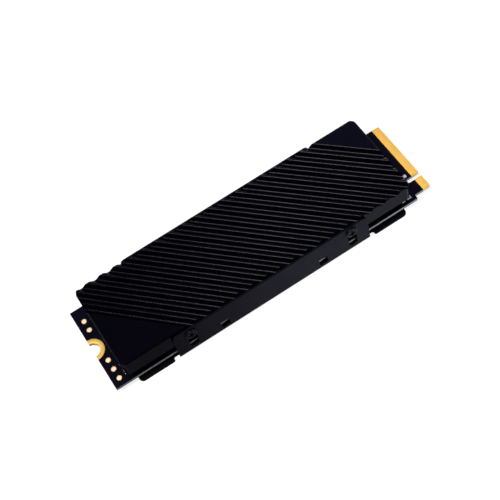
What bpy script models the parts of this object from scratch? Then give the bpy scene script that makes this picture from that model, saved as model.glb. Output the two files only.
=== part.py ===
"""A gumstick solid state drive: a circuit board clamped between a ridged heatsink and a folded sheet tray.

X runs along the board to its edge connector, Y across it and Z up. The origin lies on the tray's
underside, below the middle of the board. Sizes are in metres.
"""

from math import cos, floor, radians, sin

import bmesh
import bpy
from mathutils import Matrix, Vector

MM = 0.001

# Fits
SEAT = 0.05 * MM  # clearance between pieces that touch on the real drive
CUT_OVERRUN = 1.0 * MM  # how far a cutter runs past the wall that it cuts
WELD = 0.001 * MM

# Circuit board
BOARD_LENGTH = 80.0 * MM
BOARD_THICKNESS = 0.8 * MM
SHOULDER = 1.075 * MM  # how far the board stands out each side of its tongue
TONGUE_LENGTH = 4.0 * MM
KEY_WIDTH = 1.2 * MM
KEY_DEPTH = 3.5 * MM
HALF_HOLE_RADIUS = 1.75 * MM
RING_WIDTH = 1.0 * MM
FOIL_HEIGHT = 0.04 * MM  # how far the gold stands above the board
FOIL_ROOT = 0.1 * MM  # how deep a pad's solid reaches into the board

# Edge contacts, counted along both faces of the tongue
CONTACT_COUNT = 75
CONTACT_STEP = 0.25 * MM
CONTACT_WIDTH = 0.35 * MM
CONTACT_LENGTH = 2.0 * MM
CONTACT_SETBACK = 0.1 * MM
CONTACT_MARGIN = 0.5 * MM  # from the last contact's side to the tongue's
KEY_FIRST = 59
KEY_LAST = 66

# Round test pads beside the half-hole
TEST_PAD_RADIUS = 0.75 * MM
TEST_PAD_PITCH = 2.54 * MM
TEST_PAD_FROM_END = 1.75 * MM
FAR_TEST_PADS = 2
FAR_TEST_PADS_START = 4.8 * MM
NEAR_TEST_PADS = 3
NEAR_TEST_PADS_START = 4.07 * MM

# Heatsink
HEATSINK_HEIGHT = 4.4 * MM
HEATSINK_PROUD = 0.15 * MM  # how far it stands out past each side of the board
MOUNTING_END_BARE = 3.15 * MM  # board left bare past the heatsink's end
CONNECTOR_END_BARE = 5.3 * MM
HEATSINK_CORNER = 1.0 * MM
HEATSINK_EDGE = 0.2 * MM

# Ridges, milled at an angle across the heatsink's top
RIDGE_ANGLE = radians(45.6)  # from the drive's length to the ridges
RIDGE_PITCH = 2.425 * MM
RIDGE_DEPTH = 0.9 * MM
CREST_WIDTH = 0.36 * MM
FLOOR_WIDTH = 0.42 * MM
CREST_ROUNDING = 0.12 * MM
GROOVE_ROUNDING = 0.12 * MM
NEAR_FLAT = 11.0 * MM  # plain triangle at the mounting end, from its corner
FAR_FLAT = 7.4 * MM  # plain triangle at the connector end, from its corner

# Tray
SHEET = 0.5 * MM
TRAY_SETBACK = 2.0 * MM  # from the heatsink's end back to the tray's
TRAY_CORNER = 1.0 * MM
END_PLATE_LENGTH = 9.73 * MM  # flat sheet past each end of the wings
WING_DROP = 0.65 * MM  # from the heatsink's top down to the wing's edge
WING_CORNER = 0.7 * MM
FOLD_INSIDE = 0.3 * MM
FOLD_STEPS = 5
RELIEF_WIDTH = 1.3 * MM
RELIEF_ROUNDING = 0.4 * MM
RELIEF_REACH = 0.15 * MM  # how far a relief notch reaches in past the fold

# Slots and windows in the wings
SLOT_CLEARANCE = 0.25 * MM  # each side of a screw's shank
SLOT_BOTTOM = 1.5 * MM  # above the tray's underside
WINDOW_WIDTH = 2.1 * MM
WINDOW_HEIGHT = 2.5 * MM
WINDOW_CORNER = 0.5 * MM
WINDOW_BOTTOM = 1.35 * MM
WINDOW_FROM_SCREW = 7.6 * MM

# Side screws
SCREW_FROM_WING_END = 4.1 * MM
SCREW_ABOVE_UNDERSIDE = 2.0 * MM  # over the heatsink's underside
SCREW_RADIUS = 0.8 * MM
SCREW_HEAD_OVERLAP = 0.325 * MM  # how far the head bears on the sheet beside its slot
SCREW_HEAD_HEIGHT = 0.4 * MM
SCREW_HEAD_ROUNDING = 0.12 * MM
SCREW_LENGTH = 3.0 * MM
RECESS_ARM = 1.5 * MM
RECESS_WIDTH = 0.36 * MM
RECESS_DEPTH = 0.25 * MM
SCREW_HOLE_SPARE = 0.4 * MM  # hole left beyond the screw's tip
SCREW_STEPS = 24

# Thermal pads
BOTTOM_PAD_THICKNESS = 1.1 * MM
BOTTOM_PAD_SETBACK = 3.7 * MM  # from the tray's end back to the pad's
PAD_SETBACK = 1.0 * MM  # from the board's side in to a pad's
TOP_PAD_THICKNESS = 0.95 * MM
TOP_PAD_MARGIN = 1.0 * MM  # past the first and last chip that it covers
PAD_CORNER = 0.8 * MM

# Chips under the heatsink
CHIP_HEIGHT = 1.0 * MM
CHIP_SUBSTRATE = 0.25 * MM
CHIP_INSET = 0.15 * MM  # mould cap inside the substrate's edge
CHIP_SPACE = 2.0 * MM
PIN_MARK_RADIUS = 0.35 * MM
PIN_MARK_DEPTH = 0.06 * MM
FLASH_LENGTH = 14.0 * MM
FLASH_WIDTH = 18.0 * MM
FLASH_FROM_END = 8.0 * MM
DRAM_LENGTH = 8.0 * MM
DRAM_WIDTH = 12.0 * MM
CONTROLLER_SIDE = 12.0 * MM

# Power parts, between the controller and the connector
POWER_CHIP_SIDE = 4.0 * MM
POWER_CHIP_HEIGHT = 0.75 * MM
POWER_SPACE = 1.2 * MM
INDUCTOR_LENGTH = 2.5 * MM
INDUCTOR_WIDTH = 2.0 * MM
INDUCTOR_HEIGHT = 1.0 * MM
INDUCTOR_EDGE = 0.15 * MM
INDUCTOR_PITCH = 3.4 * MM
INDUCTOR_COUNT = 3
CRYSTAL_LENGTH = 2.0 * MM
CRYSTAL_WIDTH = 1.6 * MM
CRYSTAL_HEIGHT = 0.5 * MM

# Capacitors and resistors
BULK_LENGTH = 2.0 * MM
BULK_WIDTH = 1.25 * MM
BULK_HEIGHT = 0.9 * MM
BULK_PITCH = 2.4 * MM
BULK_COUNT = 4
SMALL_LENGTH = 1.0 * MM
SMALL_WIDTH = 0.5 * MM
CAPACITOR_HEIGHT = 0.5 * MM
RESISTOR_HEIGHT = 0.35 * MM
SMALL_PITCH = 1.8 * MM
CAPACITOR_COUNT = 6
RESISTOR_COUNT = 4
CAP_SHARE = 0.25  # share of a chip part's length under each end cap
CAP_PROUD = 0.04 * MM

ROUND_STEPS = 24
CORNER_STEPS = 4
SHARP_ANGLE = radians(35.0)

# Heights of the stack, from the tray's underside up
PAD_BASE = SHEET + SEAT
BOARD_BASE = PAD_BASE + BOTTOM_PAD_THICKNESS + SEAT
BOARD_TOP = BOARD_BASE + BOARD_THICKNESS
PART_BASE = BOARD_TOP + SEAT
TOP_PAD_BASE = PART_BASE + CHIP_HEIGHT + SEAT
HEATSINK_BASE = TOP_PAD_BASE + TOP_PAD_THICKNESS + SEAT
WING_TOP = HEATSINK_BASE + HEATSINK_HEIGHT - WING_DROP
SCREW_HEIGHT = HEATSINK_BASE + SCREW_ABOVE_UNDERSIDE

# Widths, from the contacts out to the board's sides and the tray's wings
TONGUE_WIDTH = CONTACT_STEP * (CONTACT_COUNT - 1) + CONTACT_WIDTH + 2 * CONTACT_MARGIN
BOARD_WIDTH = TONGUE_WIDTH + 2 * SHOULDER
HEATSINK_WIDTH = BOARD_WIDTH + 2 * HEATSINK_PROUD
PAD_WIDTH = BOARD_WIDTH - 2 * PAD_SETBACK
WING_OUTSIDE = HEATSINK_WIDTH / 2 + SEAT + SHEET
FOLD_RADIUS = FOLD_INSIDE + SHEET

# Lengths, from the board in to the heatsink, the tray, its wings and the screws
HEATSINK_LENGTH = BOARD_LENGTH - MOUNTING_END_BARE - CONNECTOR_END_BARE
HEATSINK_SHIFT = (MOUNTING_END_BARE - CONNECTOR_END_BARE) / 2
TRAY_LENGTH = HEATSINK_LENGTH - 2 * TRAY_SETBACK
WING_LENGTH = TRAY_LENGTH - 2 * END_PLATE_LENGTH
SCREW_SPACING = WING_LENGTH - 2 * SCREW_FROM_WING_END
WINDOW_SPACING = SCREW_SPACING - 2 * WINDOW_FROM_SCREW

# Widths round the screws and the half-hole
SLOT_WIDTH = 2 * (SCREW_RADIUS + SLOT_CLEARANCE)
SCREW_HEAD_RADIUS = SLOT_WIDTH / 2 + SCREW_HEAD_OVERLAP
RING_RADIUS = HALF_HOLE_RADIUS + RING_WIDTH


def clear_scene():
    for old in list(bpy.data.objects):
        bpy.data.objects.remove(old, do_unlink=True)


def new_collection(name):
    collection = bpy.data.collections.new(name)
    bpy.context.scene.collection.children.link(collection)
    return collection


def material(name, colour, roughness, metallic=0.0):
    made = bpy.data.materials.new(name)
    made.use_nodes = True
    shader = made.node_tree.nodes["Principled BSDF"]
    shader.inputs["Base Color"].default_value = (*colour, 1.0)
    shader.inputs["Roughness"].default_value = roughness
    shader.inputs["Metallic"].default_value = metallic
    return made


def arc(x, y, radius, start, end, steps):
    """Points along an arc, from the start angle to the end angle in degrees."""
    angles = [radians(start + (end - start) * step / steps) for step in range(steps + 1)]
    return [(x + radius * cos(angle), y + radius * sin(angle)) for angle in angles]


def rounded(corners):
    """An outline whose corners are given as x, y and how far along each side the rounding starts."""
    points = []
    for index, (x, y, size) in enumerate(corners):
        corner = Vector((x, y))
        if not size:
            points.append((x, y))
            continue
        before = (Vector(corners[index - 1][:2]) - corner).normalized() * size
        after = (Vector(corners[(index + 1) % len(corners)][:2]) - corner).normalized() * size
        points += [tuple(corner + way) for way in (before, (before + after) / 4, after)]
    return points


def rounded_rectangle(length, width, corner):
    points = []
    for turn, (side_x, side_y) in enumerate(((1, 1), (-1, 1), (-1, -1), (1, -1))):
        x = side_x * (length / 2 - corner)
        y = side_y * (width / 2 - corner)
        points += arc(x, y, corner, 90 * turn, 90 * turn + 90, CORNER_STEPS)
    return points


def outline_mesh(name, points, thickness):
    """The filled outline as a mesh, its thickness lying evenly about the XY plane."""
    curve = bpy.data.curves.new(name, "CURVE")
    curve.dimensions = "2D"
    curve.fill_mode = "BOTH"
    curve.extrude = thickness / 2
    spline = curve.splines.new("POLY")
    spline.points.add(len(points) - 1)
    for point, (x, y) in zip(spline.points, points):
        point.co = (x, y, 0.0, 1.0)
    spline.use_cyclic_u = True
    guide = bpy.data.objects.new(name + "_guide", curve)
    bpy.context.scene.collection.objects.link(guide)
    graph = bpy.context.evaluated_depsgraph_get()
    mesh = bpy.data.meshes.new_from_object(guide.evaluated_get(graph))
    bpy.data.objects.remove(guide, do_unlink=True)
    shape = bmesh.new()
    shape.from_mesh(mesh)
    bmesh.ops.remove_doubles(shape, verts=shape.verts, dist=WELD)
    bmesh.ops.dissolve_limit(shape, angle_limit=radians(0.5), verts=shape.verts, edges=shape.edges)
    bmesh.ops.recalc_face_normals(shape, faces=shape.faces)
    shape.to_mesh(mesh)
    shape.free()
    return mesh


def box_mesh(name, length, width, height):
    """A box that stands on its origin."""
    shape = bmesh.new()
    bmesh.ops.create_cube(shape, size=1.0)
    bmesh.ops.scale(shape, vec=(length, width, height), verts=shape.verts)
    bmesh.ops.translate(shape, vec=(0, 0, height / 2), verts=shape.verts)
    mesh = bpy.data.meshes.new(name)
    shape.to_mesh(mesh)
    shape.free()
    return mesh


def place(name, mesh, collection, location=(0, 0, 0), rotation=(0, 0, 0)):
    made = bpy.data.objects.new(name, mesh)
    made.location = location
    made.rotation_euler = rotation
    collection.objects.link(made)
    return made


def piece(name, mesh, colour, location=(0, 0, 0), rotation=(0, 0, 0)):
    """One sub-part, under the drive's own empty."""
    made = place(name, mesh, parts, location, rotation)
    made.data.materials.clear()
    made.data.materials.append(colour)
    made.parent = drive
    return made


def cutter(name, mesh, location=(0, 0, 0), rotation=(0, 0, 0)):
    made = place(name, mesh, cutters, location, rotation)
    made.hide_render = True
    made.display_type = "WIRE"
    return made


def combine(target, other, operation):
    modifier = target.modifiers.new(other.name, "BOOLEAN")
    modifier.operation = operation
    modifier.solver = "EXACT"
    modifier.object = other


def round_edges(target, width):
    modifier = target.modifiers.new("edges", "BEVEL")
    modifier.width = width
    modifier.segments = 1
    modifier.limit_method = "ANGLE"


def finish_shading(collection):
    """Applies the modifiers, then shades round faces smooth up to the edges that they made."""
    graph = bpy.context.evaluated_depsgraph_get()
    finished = {
        made: bpy.data.meshes.new_from_object(made.evaluated_get(graph))
        for made in collection.objects if made.type == "MESH"
    }
    for made, mesh in finished.items():
        made.modifiers.clear()
        mesh.shade_smooth()
        mesh.set_sharp_from_angle(angle=SHARP_ANGLE)
        made.data = mesh


def joined_mesh(name, meshes):
    """Several closed shapes in one mesh, as a cutter or as pads that a union then joins."""
    shape = bmesh.new()
    for mesh in meshes:
        shape.from_mesh(mesh)
        bpy.data.meshes.remove(mesh)
    made = bpy.data.meshes.new(name)
    shape.to_mesh(made)
    shape.free()
    return made


def moved(mesh, x, y, z=0.0):
    mesh.transform(Matrix.Translation((x, y, z)))
    return mesh


# Circuit board


def board_outline():
    """Anticlockwise from the half-hole, past the near side, the tongue and its key, and the far side."""
    end = BOARD_LENGTH / 2
    side = BOARD_WIDTH / 2
    tongue = TONGUE_WIDTH / 2
    shoulder = end - TONGUE_LENGTH
    key_y = contact_place((KEY_FIRST + KEY_LAST) / 2)
    key = KEY_WIDTH / 2
    points = arc(-end, 0, HALF_HOLE_RADIUS, 90, -90, ROUND_STEPS // 2)
    points += [(-end, -side), (shoulder, -side), (shoulder, -tongue), (end, -tongue), (end, key_y - key)]
    points += arc(end - KEY_DEPTH + key, key_y, key, 270, 90, CORNER_STEPS * 2)
    points += [(end, key_y + key), (end, tongue), (shoulder, tongue), (shoulder, side), (-end, side)]
    return points


def contact_place(number):
    """Across the board, contact 1 lies at the far side."""
    return CONTACT_STEP * ((CONTACT_COUNT + 1) / 2 - number)


def contact_meshes(top):
    """Odd contacts lie on the top face and even ones below, apart from those lost to the key."""
    height = FOIL_HEIGHT + FOIL_ROOT
    x = BOARD_LENGTH / 2 - CONTACT_SETBACK - CONTACT_LENGTH / 2
    z = BOARD_TOP - FOIL_ROOT if top else BOARD_BASE - FOIL_HEIGHT
    made = []
    for number in range(1 if top else 2, CONTACT_COUNT + 1, 2):
        if KEY_FIRST <= number <= KEY_LAST:
            continue
        mesh = box_mesh("contact", CONTACT_LENGTH, CONTACT_WIDTH, height)
        made.append(moved(mesh, x, contact_place(number), z))
    return made


def ring_mesh(z):
    """The gold land round the half-hole, on one face of the board."""
    end = BOARD_LENGTH / 2
    points = arc(-end, 0, RING_RADIUS, -90, 90, ROUND_STEPS // 2)
    points += arc(-end, 0, HALF_HOLE_RADIUS, 90, -90, ROUND_STEPS // 2)
    return moved(outline_mesh("ring", points, FOIL_HEIGHT + FOIL_ROOT), 0, 0, z)


def test_pad_meshes():
    x = TEST_PAD_FROM_END - BOARD_LENGTH / 2
    z = BOARD_TOP + (FOIL_HEIGHT - FOIL_ROOT) / 2
    places = [FAR_TEST_PADS_START + TEST_PAD_PITCH * step for step in range(FAR_TEST_PADS)]
    places += [-NEAR_TEST_PADS_START - TEST_PAD_PITCH * step for step in range(NEAR_TEST_PADS)]
    made = []
    for y in places:
        disc = arc(0, 0, TEST_PAD_RADIUS, 0, 360 - 360 / ROUND_STEPS, ROUND_STEPS - 1)
        made.append(moved(outline_mesh("test_pad", disc, FOIL_HEIGHT + FOIL_ROOT), x, y, z))
    return made


def make_board():
    board = piece(
        "circuit_board",
        outline_mesh("circuit_board", board_outline(), BOARD_THICKNESS),
        material("board_black", (0.008, 0.010, 0.022), 0.35),
        location=(0, 0, (BOARD_BASE + BOARD_TOP) / 2),
    )
    foil = contact_meshes(True) + contact_meshes(False) + test_pad_meshes()
    foil.append(ring_mesh(BOARD_TOP + (FOIL_HEIGHT - FOIL_ROOT) / 2))
    foil.append(ring_mesh(BOARD_BASE - (FOIL_HEIGHT - FOIL_ROOT) / 2))
    combine(board, cutter("board_foil", joined_mesh("board_foil", foil)), "UNION")
    return board


# Heatsink


def ridge_section():
    """The block's section square to the ridges: x across them from its middle, y up from its underside."""
    reach = (HEATSINK_LENGTH * sin(RIDGE_ANGLE) + HEATSINK_WIDTH * cos(RIDGE_ANGLE)) / 2
    half = (RIDGE_PITCH - CREST_WIDTH) / 2
    foot = FLOOR_WIDTH / 2
    count = max(1, floor((2 * reach - NEAR_FLAT - FAR_FLAT + CREST_WIDTH) / RIDGE_PITCH))
    top = HEATSINK_HEIGHT
    bottom = top - RIDGE_DEPTH
    end = reach + CUT_OVERRUN
    corners = [(-end, -CUT_OVERRUN, 0), (end, -CUT_OVERRUN, 0), (end, top, 0)]
    for step in reversed(range(count)):
        middle = NEAR_FLAT - reach + half + RIDGE_PITCH * step
        corners += [
            (middle + half, top, CREST_ROUNDING),
            (middle + foot, bottom, GROOVE_ROUNDING),
            (middle - foot, bottom, GROOVE_ROUNDING),
            (middle - half, top, CREST_ROUNDING),
        ]
    corners.append((-end, top, 0))
    return rounded(corners)


def heatsink_blank():
    """The block's plan with its cut corners. Its top edge slopes in and runs past the crests."""
    x, y, cut = HEATSINK_LENGTH / 2, HEATSINK_WIDTH / 2, HEATSINK_CORNER
    plan = [
        (x, cut - y), (x, y - cut), (x - cut, y), (cut - x, y),
        (-x, y - cut), (-x, cut - y), (cut - x, -y), (x - cut, -y),
    ]
    height = HEATSINK_HEIGHT + HEATSINK_EDGE
    mesh = moved(outline_mesh("heatsink", plan, height), 0, 0, height / 2)
    shape = bmesh.new()
    shape.from_mesh(mesh)
    rim = [edge for edge in shape.edges if all(corner.co.z > height / 2 for corner in edge.verts)]
    bmesh.ops.bevel(
        shape, geom=rim, offset=2 * HEATSINK_EDGE, segments=1, profile=0.5, affect="EDGES", material=-1
    )
    shape.to_mesh(mesh)
    shape.free()
    return mesh


def cylinder_mesh(name, radius, height, steps):
    shape = bmesh.new()
    bmesh.ops.create_cone(
        shape, cap_ends=True, segments=steps, radius1=radius, radius2=radius, depth=height
    )
    mesh = bpy.data.meshes.new(name)
    shape.to_mesh(mesh)
    shape.free()
    return mesh


def screw_places():
    """Where each screw stands along the drive, and on which side."""
    for side_name, side in (("near", -1), ("far", 1)):
        for end_name, end in (("left", -1), ("right", 1)):
            x = HEATSINK_SHIFT + end * SCREW_SPACING / 2
            yield f"{side_name}_{end_name}", x, side


def make_heatsink():
    heatsink = piece(
        "heatsink",
        heatsink_blank(),
        material("heatsink_black_anodised", (0.012, 0.012, 0.020), 0.4, 0.6),
        location=(HEATSINK_SHIFT, 0, HEATSINK_BASE),
    )
    span = HEATSINK_LENGTH + HEATSINK_WIDTH + 2 * CUT_OVERRUN
    ridges = cutter(
        "ridge_stock",
        outline_mesh("ridge_stock", ridge_section(), span),
        location=(HEATSINK_SHIFT, 0, HEATSINK_BASE),
        rotation=(radians(90), 0, radians(90) - RIDGE_ANGLE),
    )
    combine(heatsink, ridges, "INTERSECT")
    depth = SCREW_LENGTH - SHEET + SCREW_HOLE_SPARE
    for name, x, side in screw_places():
        hole = cutter(
            f"screw_hole_{name}",
            cylinder_mesh("screw_hole", SCREW_RADIUS + SEAT, 2 * depth, SCREW_STEPS),
            location=(x, side * HEATSINK_WIDTH / 2, SCREW_HEIGHT),
            rotation=(radians(90), 0, 0),
        )
        combine(heatsink, hole, "DIFFERENCE")


# Tray


def tray_outline():
    """The flat part of the sheet, with a relief notch beside each end of each fold."""
    fold = WING_OUTSIDE - FOLD_RADIUS
    wing = WING_LENGTH / 2
    notch = wing + RELIEF_WIDTH
    quarter = [
        (TRAY_LENGTH / 2, WING_OUTSIDE, TRAY_CORNER),
        (notch, WING_OUTSIDE, RELIEF_ROUNDING),
        (notch, fold - RELIEF_REACH, RELIEF_ROUNDING),
        (wing, fold - RELIEF_REACH, 0),
        (wing, fold, 0),
    ]
    back = quarter[::-1]
    corners = list(quarter)
    corners += [(-x, y, size) for x, y, size in back]
    corners += [(-x, -y, size) for x, y, size in quarter]
    corners += [(x, -y, size) for x, y, size in back]
    return rounded(corners)


def folded_sheet():
    """The sheet's outer surface: one flat face, then a fold and a wing along each side."""
    shape = bmesh.new()
    flat = shape.faces.new([shape.verts.new((x, y, 0)) for x, y in tray_outline()])
    wing = WING_LENGTH / 2
    folds = [
        edge for edge in flat.edges
        if abs(edge.verts[0].co.x - edge.verts[1].co.x) > WING_LENGTH - WELD
        and all(abs(corner.co.x) < wing + WELD for corner in edge.verts)
    ]
    for edge in folds:
        y = edge.verts[0].co.y
        side = 1 if y > 0 else -1
        bend = bmesh.ops.spin(
            shape, geom=[edge, *edge.verts], cent=(0, y, FOLD_RADIUS), axis=(side, 0, 0),
            angle=radians(90), steps=FOLD_STEPS,
        )
        last = [item for item in bend["geom_last"] if isinstance(item, bmesh.types.BMEdge)]
        wall = bmesh.ops.extrude_edge_only(shape, edges=last)
        corners = [item for item in wall["geom"] if isinstance(item, bmesh.types.BMVert)]
        bmesh.ops.translate(shape, verts=corners, vec=(0, 0, WING_TOP - FOLD_RADIUS))
        bmesh.ops.bevel(
            shape, geom=corners, offset=WING_CORNER, segments=CORNER_STEPS, profile=0.5,
            affect="VERTICES", material=-1,
        )
    bmesh.ops.remove_doubles(shape, verts=shape.verts, dist=WELD)
    bmesh.ops.recalc_face_normals(shape, faces=shape.faces)
    shape.faces.ensure_lookup_table()
    widest = max(shape.faces, key=lambda face: face.calc_area())
    if widest.normal.z < 0:
        bmesh.ops.reverse_faces(shape, faces=shape.faces)
    mesh = bpy.data.meshes.new("tray")
    shape.to_mesh(mesh)
    shape.free()
    return mesh


def wing_cutter_meshes():
    """Obround slots under the screws and small windows between them, each through both wings."""
    span = 2 * (WING_OUTSIDE + CUT_OVERRUN)
    slot_top = SCREW_HEIGHT + SLOT_WIDTH / 2
    slot_height = slot_top - SLOT_BOTTOM
    shapes = (
        (SCREW_SPACING, SLOT_WIDTH, slot_height, SLOT_BOTTOM, SLOT_WIDTH / 2 - WELD),
        (WINDOW_SPACING, WINDOW_WIDTH, WINDOW_HEIGHT, WINDOW_BOTTOM, WINDOW_CORNER),
    )
    made = []
    for spacing, width, height, bottom, corner in shapes:
        for end in (-1, 1):
            mesh = outline_mesh("wing_cutter", rounded_rectangle(width, height, corner), span)
            made.append(moved(mesh, end * spacing / 2, bottom + height / 2))
    return made


def make_tray():
    tray = piece(
        "tray",
        folded_sheet(),
        material("tray_black_coated", (0.020, 0.020, 0.026), 0.45, 0.3),
        location=(HEATSINK_SHIFT, 0, 0),
    )
    wall = tray.modifiers.new("sheet", "SOLIDIFY")
    wall.thickness = SHEET
    wall.offset = 1.0
    wall.use_even_offset = True
    holes = cutter(
        "wing_openings",
        joined_mesh("wing_openings", wing_cutter_meshes()),
        location=(HEATSINK_SHIFT, 0, 0),
        rotation=(radians(90), 0, 0),
    )
    combine(tray, holes, "DIFFERENCE")


# Side screws


def screw_profile():
    """From the middle of the head's top, down its outer side and the shank, to the middle of the tip."""
    rounding = SCREW_HEAD_ROUNDING
    edge_x, edge_z = SCREW_HEAD_RADIUS - rounding, SCREW_HEAD_HEIGHT - rounding
    points = [(0, SCREW_HEAD_HEIGHT)]
    points += arc(edge_x, edge_z, rounding, 90, 0, CORNER_STEPS // 2)
    points += [(SCREW_HEAD_RADIUS, 0), (SCREW_RADIUS, 0), (SCREW_RADIUS, rounding - SCREW_LENGTH)]
    points += [(SCREW_RADIUS - rounding, -SCREW_LENGTH), (0, -SCREW_LENGTH)]
    return points


def screw_mesh():
    mesh = bpy.data.meshes.new("side_screw")
    points = [(x, 0, z) for x, z in screw_profile()]
    mesh.from_pydata(points, [(step, step + 1) for step in range(len(points) - 1)], [])
    return mesh


def recess_outline():
    """A plus sign, from one arm round to the next."""
    arm, half = RECESS_ARM / 2, RECESS_WIDTH / 2
    points = []
    for turn in range(4):
        rotation = Matrix.Rotation(radians(90 * turn), 2)
        for corner in ((arm, -half), (arm, half), (half, half)):
            points.append(tuple(rotation @ Vector(corner)))
    return points


def make_screws():
    finish = material("screw_black", (0.010, 0.010, 0.014), 0.35, 0.6)
    shared = screw_mesh()
    for name, x, side in screw_places():
        location = (x, side * (WING_OUTSIDE + SEAT), SCREW_HEIGHT)
        rotation = (radians(-90 * side), 0, 0)
        screw = piece(f"side_screw_{name}", shared, finish, location, rotation)
        turned = screw.modifiers.new("turned", "SCREW")
        turned.steps = turned.render_steps = SCREW_STEPS
        turned.use_merge_vertices = True
        turned.merge_threshold = WELD
        turned.use_smooth_shade = True
        top = location[1] + side * SCREW_HEAD_HEIGHT
        recess = cutter(
            f"screw_recess_{name}",
            outline_mesh("screw_recess", recess_outline(), 2 * RECESS_DEPTH),
            location=(x, top, SCREW_HEIGHT),
            rotation=rotation,
        )
        combine(screw, recess, "DIFFERENCE")


# Chips and small parts


def package_mesh(name, length, width, height, substrate):
    """A moulded chip: a thin substrate with the mould cap inset on it."""
    shape = bmesh.new()
    bmesh.ops.create_cube(shape, size=1.0)
    bmesh.ops.scale(shape, vec=(length, width, substrate), verts=shape.verts)
    bmesh.ops.translate(shape, vec=(0, 0, substrate / 2), verts=shape.verts)
    top = max(shape.faces, key=lambda face: face.calc_center_median().z)
    bmesh.ops.inset_region(shape, faces=[top], thickness=CHIP_INSET, use_even_offset=True)
    cap = bmesh.ops.extrude_discrete_faces(shape, faces=[top])["faces"]
    corners = [corner for face in cap for corner in face.verts]
    bmesh.ops.translate(shape, vec=(0, 0, height - substrate), verts=corners)
    mesh = bpy.data.meshes.new(name)
    shape.to_mesh(mesh)
    shape.free()
    return mesh


def make_package(name, length, width, height, colour, x, y=0.0):
    chip = piece(name, package_mesh(name, length, width, height, CHIP_SUBSTRATE), colour, (x, y, PART_BASE))
    mark = cutter(
        f"{name}_mark",
        cylinder_mesh("pin_mark", PIN_MARK_RADIUS, 2 * PIN_MARK_DEPTH, ROUND_STEPS // 2),
        location=(
            x - length / 2 + CHIP_INSET + 2 * PIN_MARK_RADIUS,
            y + width / 2 - CHIP_INSET - 2 * PIN_MARK_RADIUS,
            PART_BASE + height,
        ),
    )
    combine(chip, mark, "DIFFERENCE")


def end_cap_mesh(name, length, width, height):
    """A capacitor's or resistor's body with a slightly larger metal cap over each end."""
    cap = length * CAP_SHARE
    shape = bmesh.new()
    bmesh.ops.create_cube(shape, size=1.0)
    inner = (length - 2 * cap, width - 2 * CAP_PROUD, height - 2 * CAP_PROUD)
    bmesh.ops.scale(shape, vec=inner, verts=shape.verts)
    outer = (1, width / inner[1], height / inner[2])
    for side in (-1, 1):
        end = max(shape.faces, key=lambda face: side * face.calc_center_median().x)
        step = bmesh.ops.extrude_discrete_faces(shape, faces=[end])["faces"]
        bmesh.ops.scale(shape, vec=outer, verts=step[0].verts)
        tip = bmesh.ops.extrude_discrete_faces(shape, faces=step)["faces"]
        bmesh.ops.translate(shape, vec=(side * cap, 0, 0), verts=tip[0].verts)
    bmesh.ops.translate(shape, vec=(0, 0, height / 2), verts=shape.verts)
    mesh = bpy.data.meshes.new(name)
    shape.to_mesh(mesh)
    shape.free()
    return mesh


def row(count, pitch):
    """Places spaced evenly about zero."""
    return [pitch * (step - (count - 1) / 2) for step in range(count)]


def make_chips():
    """The row of large packages from the half-hole's end, and the pad that bears on them."""
    mould = material("mould_compound", (0.015, 0.015, 0.016), 0.6)
    flash_x = FLASH_FROM_END + FLASH_LENGTH / 2 - BOARD_LENGTH / 2
    second_x = flash_x + FLASH_LENGTH + CHIP_SPACE
    dram_x = second_x + (FLASH_LENGTH + DRAM_LENGTH) / 2 + CHIP_SPACE
    controller_x = dram_x + (DRAM_LENGTH + CONTROLLER_SIDE) / 2 + CHIP_SPACE
    make_package("flash_chip_1", FLASH_LENGTH, FLASH_WIDTH, CHIP_HEIGHT, mould, flash_x)
    make_package("flash_chip_2", FLASH_LENGTH, FLASH_WIDTH, CHIP_HEIGHT, mould, second_x)
    make_package("dram_chip", DRAM_LENGTH, DRAM_WIDTH, CHIP_HEIGHT, mould, dram_x)
    make_package("controller", CONTROLLER_SIDE, CONTROLLER_SIDE, CHIP_HEIGHT, mould, controller_x)
    left = flash_x - FLASH_LENGTH / 2 - TOP_PAD_MARGIN
    right = controller_x + CONTROLLER_SIDE / 2 + TOP_PAD_MARGIN
    silicone = material("thermal_pad_grey", (0.10, 0.10, 0.11), 0.8)
    piece(
        "top_thermal_pad",
        outline_mesh(
            "top_thermal_pad",
            rounded_rectangle(right - left, PAD_WIDTH, PAD_CORNER),
            TOP_PAD_THICKNESS,
        ),
        silicone,
        location=((left + right) / 2, 0, TOP_PAD_BASE + TOP_PAD_THICKNESS / 2),
    )
    piece(
        "bottom_thermal_pad",
        outline_mesh(
            "bottom_thermal_pad",
            rounded_rectangle(TRAY_LENGTH - 2 * BOTTOM_PAD_SETBACK, PAD_WIDTH, PAD_CORNER),
            BOTTOM_PAD_THICKNESS,
        ),
        silicone,
        location=(HEATSINK_SHIFT, 0, PAD_BASE + BOTTOM_PAD_THICKNESS / 2),
    )
    return dram_x, controller_x


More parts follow.
